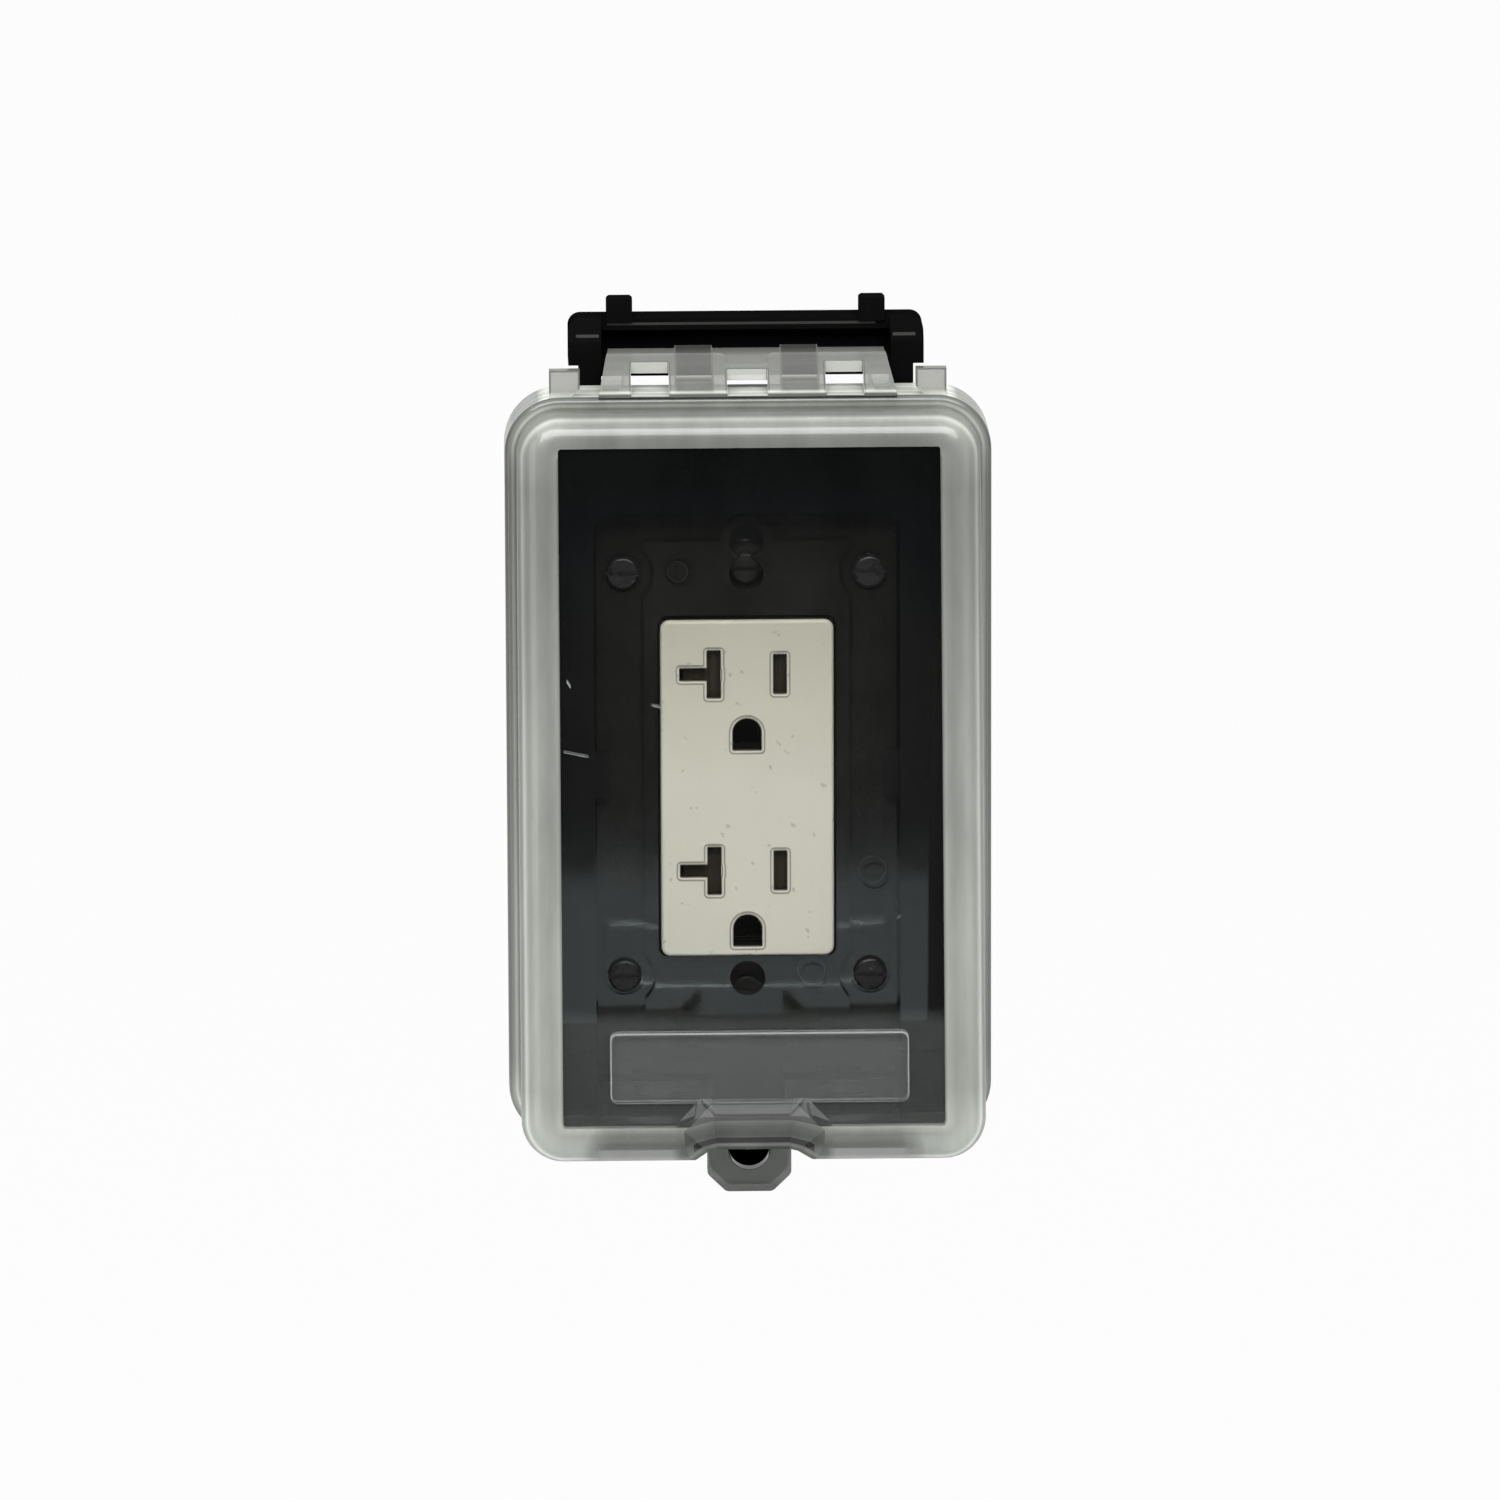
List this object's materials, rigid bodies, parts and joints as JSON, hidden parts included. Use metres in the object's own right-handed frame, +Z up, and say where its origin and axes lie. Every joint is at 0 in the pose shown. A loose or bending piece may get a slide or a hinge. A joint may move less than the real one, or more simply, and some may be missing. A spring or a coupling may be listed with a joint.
{
  "type": "weatherproof in-use outlet cover",
  "caption": "Wedge-shaped clear hinged cover with a lockable latch tab over a duplex receptacle, on a black base with a hinge housing.",
  "frame": {"origin": "midway between the two box screws, on the wall", "axes": "+X to the right seen from the room, +Y into the wall, +Z up"},
  "size_m": [0.0926, 0.0847, 0.1738],
  "materials": {
    "clear_plastic": "frosted border, polished window",
    "black_plastic": "moulded satin",
    "soft_plastic": "matt",
    "foam": "matt",
    "ivory_plastic": "satin",
    "body_plastic": "moulded",
    "shutter_plastic": "moulded",
    "zinc_steel": "zinc plated",
    "contact_brass": "stamped",
    "screw_brass": "turned",
    "screw_nickel": "nickel plated",
    "screw_green": "green dyed",
    "dark_screw": "black"
  },
  "bodies": {
    "cover": {"adapter_plate": "black_plastic", "base": "black_plastic", "box_screw_lower": "zinc_steel", "box_screw_upper": "zinc_steel", "cord_gate_left": "soft_plastic", "cord_gate_right": "soft_plastic", "corner_screw_lower_left": "dark_screw", "corner_screw_lower_right": "dark_screw", "corner_screw_upper_left": "dark_screw", "corner_screw_upper_right": "dark_screw", "ground_contact": "contact_brass", "ground_screw": "screw_green", "hot_clamp_lower": "zinc_steel", "hot_clamp_upper": "zinc_steel", "hot_contact": "contact_brass", "hot_screw_lower": "screw_brass", "hot_screw_upper": "screw_brass", "housing_screw_left": "zinc_steel", "housing_screw_right": "zinc_steel", "mounting_yoke": "zinc_steel", "neutral_clamp_lower": "zinc_steel", "neutral_clamp_upper": "zinc_steel", "neutral_contact": "contact_brass", "neutral_screw_lower": "screw_nickel", "neutral_screw_upper": "screw_nickel", "receptacle_body": "body_plastic", "receptacle_face": "ivory_plastic", "shutter_spring_lower": "zinc_steel", "shutter_spring_upper": "zinc_steel", "wall_gasket": "foam"},
    "lid": {"lid": "clear_plastic"},
    "shutter_upper": {"shutter_upper": "shutter_plastic"},
    "shutter_lower": {"shutter_lower": "shutter_plastic"}
  },
  "joints": [
    {"name": "lid_hinge", "type": "hinge", "parent": "cover", "child": "lid", "pos_m": [0, -0.01, 0.0825], "axis": [-1, 0, 0], "range_deg": [0, 90]},
    {"name": "shutter_upper_slide", "type": "slide", "parent": "cover", "child": "shutter_upper", "axis": [-1, 0, 0], "range_m": [0, 0.003], "stiffness_N_per_m": 50, "springref_m": -0.001, "deforming": ["shutter_spring_upper"]},
    {"name": "shutter_lower_slide", "type": "slide", "parent": "cover", "child": "shutter_lower", "axis": [-1, 0, 0], "range_m": [0, 0.003], "stiffness_N_per_m": 50, "springref_m": -0.001, "deforming": ["shutter_spring_lower"]}
  ]
}
